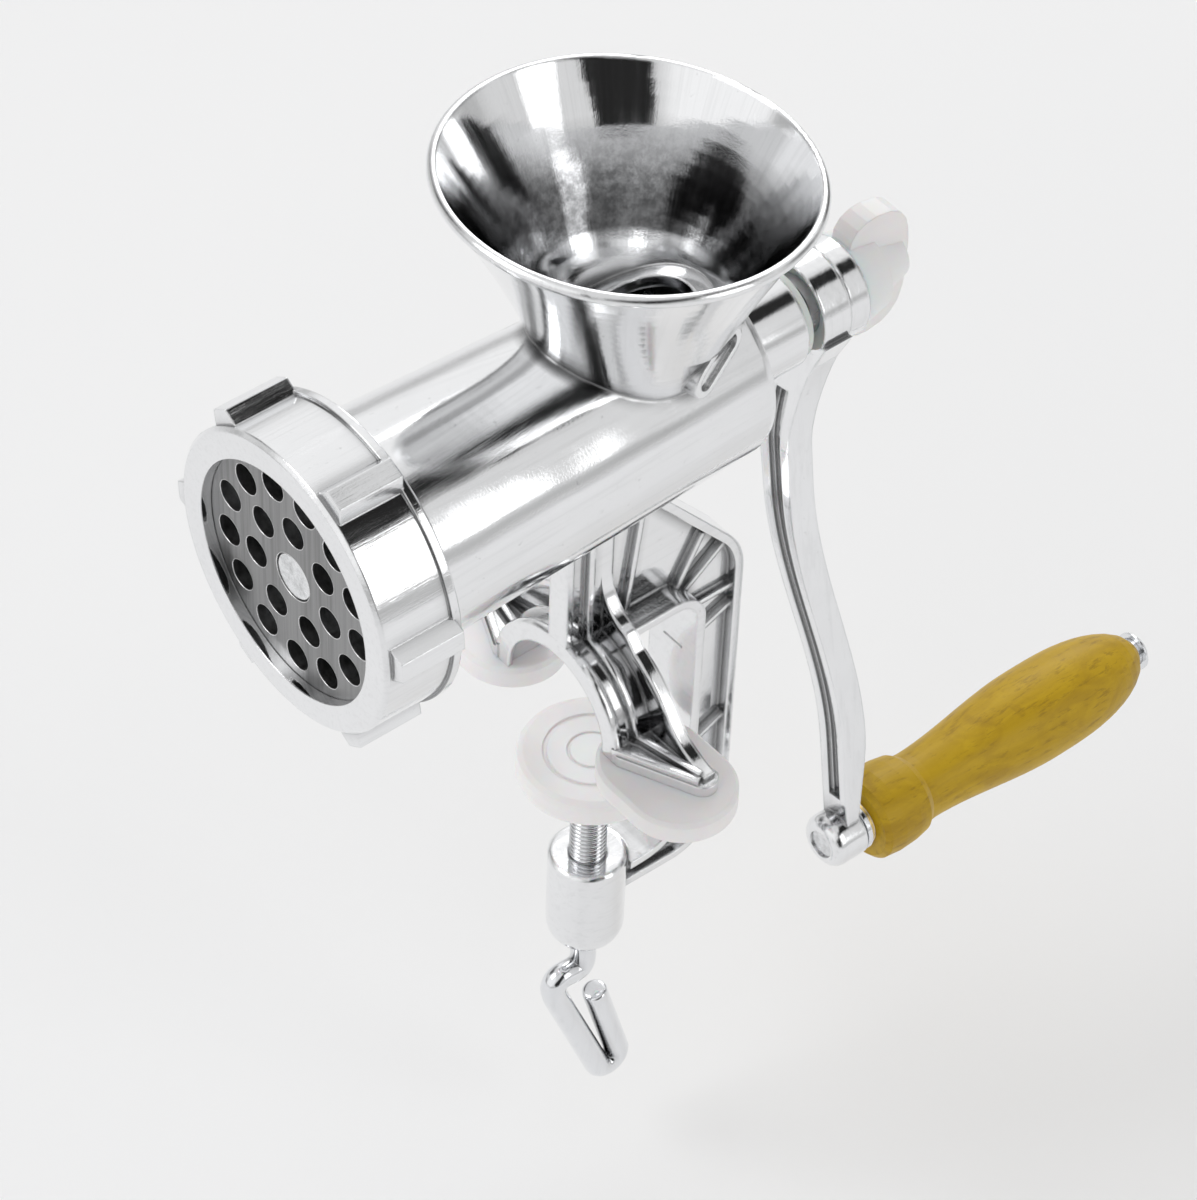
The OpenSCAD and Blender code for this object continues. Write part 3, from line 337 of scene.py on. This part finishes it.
AROUND = 36                                     # corners round the screw
PITCH, CREST, ROOT = 0.0015, 0.00492, 0.00418   # M10 x 1.5: radii of the thread
THREAD_TOP, THREAD_END = -0.0212, -0.0912
ROUNDS_PER_TURN = 8                             # rows of corners along one pitch
RUN_IN, RUN_OUT = 0.0012, 0.002                 # the thread fades over these at its ends
ROD = 0.0035                                    # radius of the bent rod
BEND = 0.0036                                   # radius of the bend at the rod's middle
TAIL = Vector((0, 0.0048, -0.1165))             # where the rod ends
NOSE = ((0.0005, 0.97), (0.0009, 0.88), (0.0011, 0.7))      # its blunt end: lift, radius
ROD_PATH = ((0, -91.4), (0.1, -98), (-0.5, -101.4), (-4, -101.3), (-8.4, -100.4),
            (-10.4, -103.2), (-9.3, -108), (6.6, -148.6))   # y and z in mm


def smoothed(points, step, passes):
    """Points every step along a broken line, with its corners worn round."""
    line = []
    for p, q in zip(points, points[1:]):
        n = max(1, round((q - p).length / step))
        line += [p.lerp(q, i / n) for i in range(n)]
    line.append(points[-1])
    for _ in range(passes):
        inner = [(a + b * 2 + c) / 4 for a, b, c in zip(line, line[1:], line[2:])]
        line = [line[0]] + inner + [line[-1]]
    return line


def thread_rows():
    """The threaded length, as rows of (centre, direction across, radius by corner)."""
    rows = []
    steps = round((THREAD_TOP - THREAD_END) / (PITCH / ROUNDS_PER_TURN))
    for i in range(steps + 1):
        z = THREAD_TOP + (THREAD_END - THREAD_TOP) * i / steps
        fade = max(0.0, min(1.0, (THREAD_TOP - z) / RUN_IN, (z - THREAD_END) / RUN_OUT))
        radii = []
        for j in range(AROUND):
            wave = 1 - 2 * abs((z / PITCH - j / AROUND) % 1.0 - 0.5)
            flank = min(1.0, max(0.0, (wave - 0.12) / 0.7))     # flat root, slope, flat crest
            radii.append(ROOT + (CREST - ROOT) * flank * fade)
        rows.append((Vector((0, 0, z)), Vector((0, 1, 0)), radii))
    return rows


def rod_rows():
    """The plain rod: out of the thread, down the handle, round its bend and up to its end."""
    path = [Vector((0, y, z)) / 1000 for y, z in ROD_PATH]
    leg = (path[-1] - path[-2]).normalized()
    out = Vector((0, -leg.z, leg.y))
    bend = [path[-1] + out * BEND * (1 - math.cos(a)) + leg * BEND * math.sin(a)
            for a in (math.pi * i / 12 for i in range(1, 13))]
    line = smoothed(path, 0.0006, 14) + bend[:-1] + smoothed([bend[-1], TAIL], 0.003, 0)
    rows = []
    for i, p in enumerate(line):
        way = (line[min(i + 1, len(line) - 1)] - line[max(i - 1, 0)]).normalized()
        rows.append((p, Vector((0, -way.z, way.y)), [ROD] * AROUND))
    end, across, _ = rows[-1]
    onward = (TAIL - bend[-1]).normalized()
    for lift, part in NOSE:
        rows.append((end + onward * lift, across, [ROD * part] * AROUND))
    return rows


def threaded_screw():
    """The M10 x 1.5 screw with its cut thread, its plain rod and the bent handle."""
    rows = thread_rows() + rod_rows()
    verts, faces = [], []
    for centre, across, radii in rows:
        for j, r in enumerate(radii):
            a = 2 * math.pi * j / AROUND
            verts.append(centre + Vector((1, 0, 0)) * r * math.cos(a) + across * r * math.sin(a))
    for row in range(0, (len(rows) - 1) * AROUND, AROUND):
        for j in range(AROUND):
            k = (j + 1) % AROUND
            faces.append((row + j, row + AROUND + j, row + AROUND + k, row + k))
    faces.append(tuple(range(AROUND)))
    faces.append(tuple(reversed(range((len(rows) - 1) * AROUND, len(rows) * AROUND))))
    mesh = bpy.data.meshes.new("threaded_screw")
    mesh.from_pydata(verts, [], faces)
    mesh.shade_smooth()
    mesh.materials.append(chrome)
    obj = bpy.data.objects.new("threaded_screw", mesh)
    scene.collection.objects.link(obj)
    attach(obj, "screw")
    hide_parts("clamp_screw")


threaded_screw()


# ------------------------------------------------------------------ camera

# The photograph's camera, as it was fitted to the part: angles, place and focal length.
AZ, EL, ROLL = (math.radians(v) for v in (48.676, 45.636, 2.512))
CAMERA_PLACE = Vector((0.5847, -0.5141, 0.8339))
LENS, SENSOR = 136.42, 36.0         # in mm, across the frame's width

back = Vector((math.sin(AZ) * math.cos(EL), -math.cos(AZ) * math.cos(EL), math.sin(EL)))
side = Vector((math.cos(AZ), math.sin(AZ), 0))
up = back.cross(side)
right = side * math.cos(ROLL) + up * math.sin(ROLL)
top = up * math.cos(ROLL) - side * math.sin(ROLL)
cam_data = bpy.data.cameras.new("camera")
cam = bpy.data.objects.new("camera", cam_data)
scene.collection.objects.link(cam)
place = Matrix((right, top, back)).transposed().to_4x4()
place.translation = CAMERA_PLACE
cam.matrix_world = place
cam_data.sensor_fit = "HORIZONTAL"
cam_data.sensor_width = SENSOR
cam_data.lens = LENS
cam_data.clip_start, cam_data.clip_end = 0.05, 20
scene.camera = cam


# ------------------------------------------------------------------ floor and lights

FLOOR_Z = -0.1845           # just under the clamp screw at its lowest
FLOOR_HALF = 3              # half the floor's width

floor_mesh = bpy.data.meshes.new("floor")
corners = [(x * FLOOR_HALF, y * FLOOR_HALF, 0) for x, y in ((-1, -1), (1, -1), (1, 1), (-1, 1))]
floor_mesh.from_pydata(corners, [], [(0, 1, 2, 3)])
floor = bpy.data.objects.new("floor", floor_mesh)
floor.location.z = FLOOR_Z
scene.collection.objects.link(floor)
pale = Mat("pale floor")
patches = pale.remap(pale.noise(3.0), 0, 1)
pale.set(color=pale.mix(patches, (0.93, 0.93, 0.93), (0.91, 0.91, 0.915)), rough=0.8, spec=0.1)
floor_mesh.materials.append(pale.mat)


def soft_light(name, where, aim, size, power):
    data = bpy.data.lights.new(name, "AREA")
    data.shape = "RECTANGLE"
    data.size, data.size_y = size
    data.energy = power
    obj = bpy.data.objects.new(name, data)
    obj.location = where
    obj.rotation_mode = "QUATERNION"
    obj.rotation_quaternion = (Vector(where) - Vector(aim)).to_track_quat("Z", "Y")
    scene.collection.objects.link(obj)


soft_light("key", where=(-0.6, -1.2, 1.5), aim=(0, 0, 0.05), size=(0.9, 0.9), power=8)
soft_light("fill", where=(1.6, 0.6, 0.9), aim=(0, 0, 0.0), size=(0.7, 1.2), power=4)
soft_light("rim", where=(-1.0, 1.2, 1.0), aim=(0, 0, 0.1), size=(0.6, 1.0), power=5)


# ------------------------------------------------------------------ studio

BRIGHTNESS = 0.74
# The long dark flag follows the great circle through these two headings, a little askew.
ARC_FROM, ARC_TO = (-30, 15), (53, 53)
ARC_SKEW, ARC_EDGE, ARC_ENDS, ARC_DARK = 0.13, (0.195, 0.235), (0.66, 0.56), 0.97
# Round flags: azimuth and elevation in degrees, half-width in radians, share of light taken.
# A share below 0 brightens.
FLAGS = (
    (70, 18, 0.12, 0.8), (173, 24, 0.1, 0.6), (-163, 30, 0.14, 0.85), (100, 10, 0.14, 0.85),
    (-135, 5, 0.1, 0.35), (-95, 28, 0.5, -0.35), (125, 32, 0.5, -0.3),
)
FLAG_EDGE = 0.2                     # width of a round flag's soft edge, in radians
HORIZON_EDGE, HORIZON_DARK = (0.02, 0.12), 0.3


class Sky(Nodes):
    """The studio's brightness by direction: pale walls with dark flags between them."""

    def __init__(self, world):
        world.use_nodes = True
        super().__init__(world.node_tree, "Generated")
        self.level = BRIGHTNESS

    def along(self, axis):
        """The cosine of the angle between the direction and an axis."""
        return self.vectors("DOT_PRODUCT", self.coord, Vector(axis).normalized())

    def fade(self, value, full, none):
        """1 up to full, 0 from none on; full may be the larger one."""
        return self.remap(value, 1.0, 0.0, full, none, interpolation_type="SMOOTHSTEP")

    def darken(self, mask, share):
        keep = self.math("SUBTRACT", 1.0, self.times(mask, share))
        self.level = self.times(keep, self.level)


def heading(azimuth, elevation):
    a, e = math.radians(azimuth), math.radians(elevation)
    return Vector((math.cos(a) * math.cos(e), math.sin(a) * math.cos(e), math.sin(e)))


world = bpy.data.worlds.new("studio")
scene.world = world
sky = Sky(world)
low, high = heading(*ARC_FROM), heading(*ARC_TO)
off = sky.math("ABSOLUTE", sky.along(low.cross(high)))
off = sky.math("ADD", off, sky.times(sky.along((0, 1, 0)), ARC_SKEW))
arc = sky.times(sky.fade(off, *ARC_EDGE), sky.fade(sky.along(low + high), *ARC_ENDS))
sky.darken(arc, ARC_DARK)
for azimuth, elevation, half, share in FLAGS:
    angle = sky.math("ARCCOSINE", sky.along(heading(azimuth, elevation)))
    sky.darken(sky.fade(angle, half, half + FLAG_EDGE), share)
horizon = sky.math("ABSOLUTE", sky.along((0, 0, 1)))
sky.darken(sky.fade(horizon, *HORIZON_EDGE), HORIZON_DARK)
sky.fill(world.node_tree.nodes["Background"], Strength=sky.level, Color=(1, 1, 1, 1))
scene.view_settings.view_transform = "Standard"
